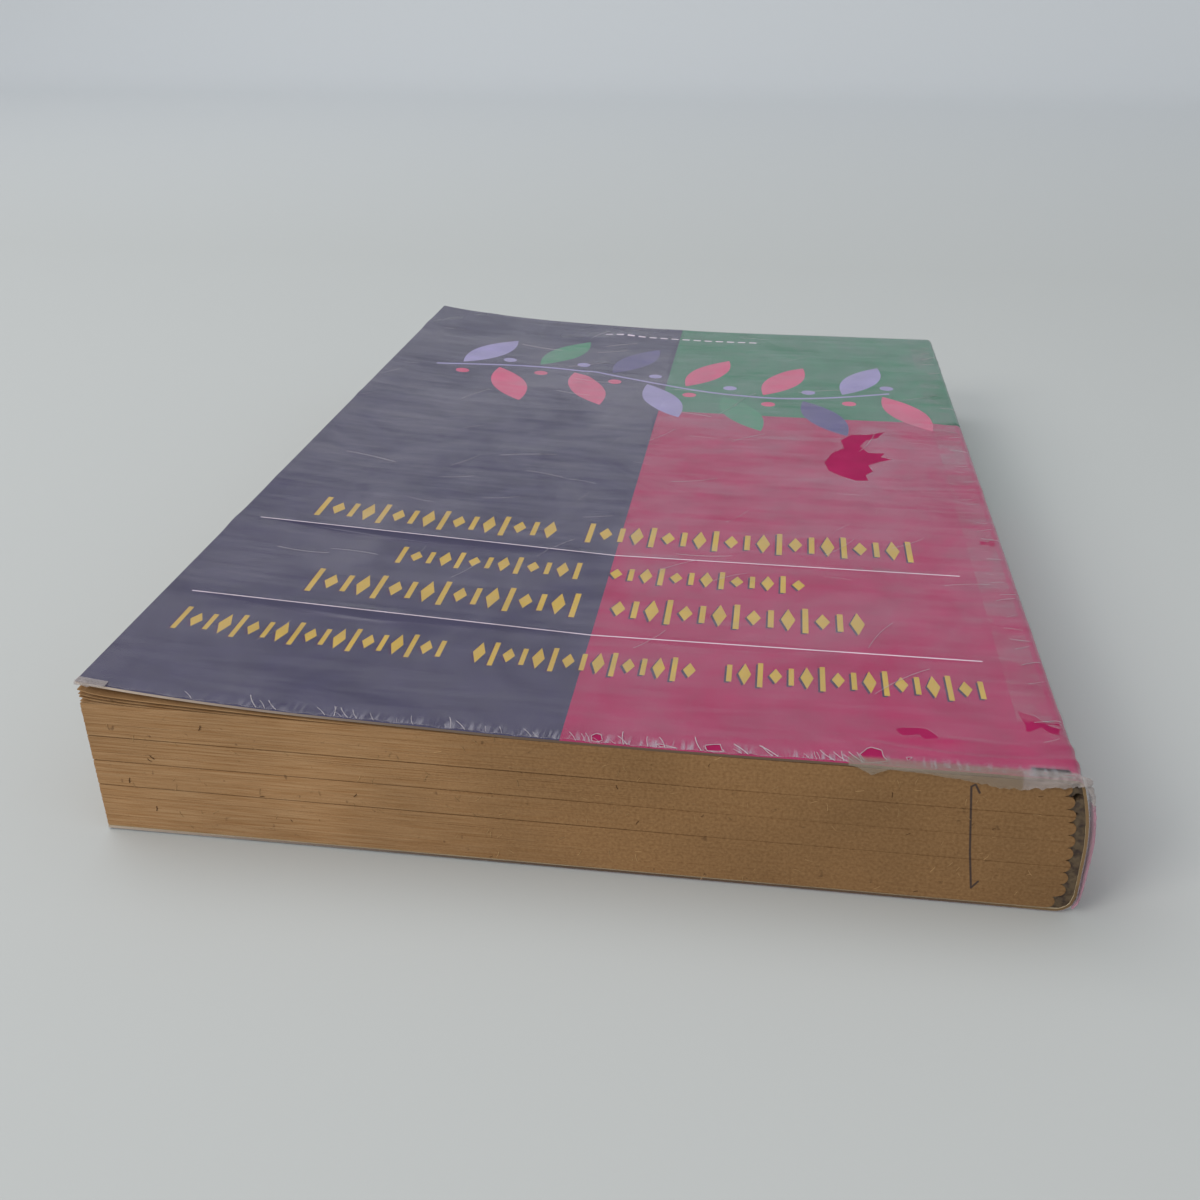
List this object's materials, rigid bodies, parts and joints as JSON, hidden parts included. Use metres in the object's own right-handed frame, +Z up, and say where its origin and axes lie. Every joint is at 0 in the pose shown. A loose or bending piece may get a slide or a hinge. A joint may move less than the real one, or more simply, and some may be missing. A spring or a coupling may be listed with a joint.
{
  "type": "paperback book",
  "caption": "Worn thick paperback lying shut: tanned pages in folded sections, glued back, card cover in three joined panels under clear film that has hazed and torn, taped spine.",
  "frame": {"origin": "middle of the underside, on the surface that the closed book lies on", "axes": "+X to the spine, +Y to the tail (the bottom edge of the pages), +Z up out of the front cover"},
  "size_m": [0.142, 0.216, 0.0272],
  "materials": {
    "aged_paper": "tanned cut page edges",
    "binding_glue": "browned binding glue",
    "printed_card": "printed in purple, magenta and green",
    "clear_tape": "clear tape",
    "clear_film": "hazed clear film"
  },
  "bodies": {
    "text_block": {"page_block": "aged_paper", "spine_glue": "binding_glue", "spine_cover": "printed_card", "spine_tape": "clear_tape", "spine_film": "clear_film"},
    "front_panel": {"front_cover": "printed_card", "front_film": "clear_film"},
    "back_panel": {"back_cover": "printed_card", "back_tape": "clear_tape", "back_film": "clear_film"}
  },
  "joints": [
    {"name": "front_cover_hinge", "type": "hinge", "parent": "text_block", "child": "front_panel", "pos_m": [0.06222, 0, 0.0222], "axis": [0, 1, 0], "range_deg": [0, 175]},
    {"name": "back_cover_hinge", "type": "hinge", "parent": "text_block", "child": "back_panel", "pos_m": [0.064, 0, 0], "axis": [0, -1, 0], "range_deg": [0, 175]}
  ]
}
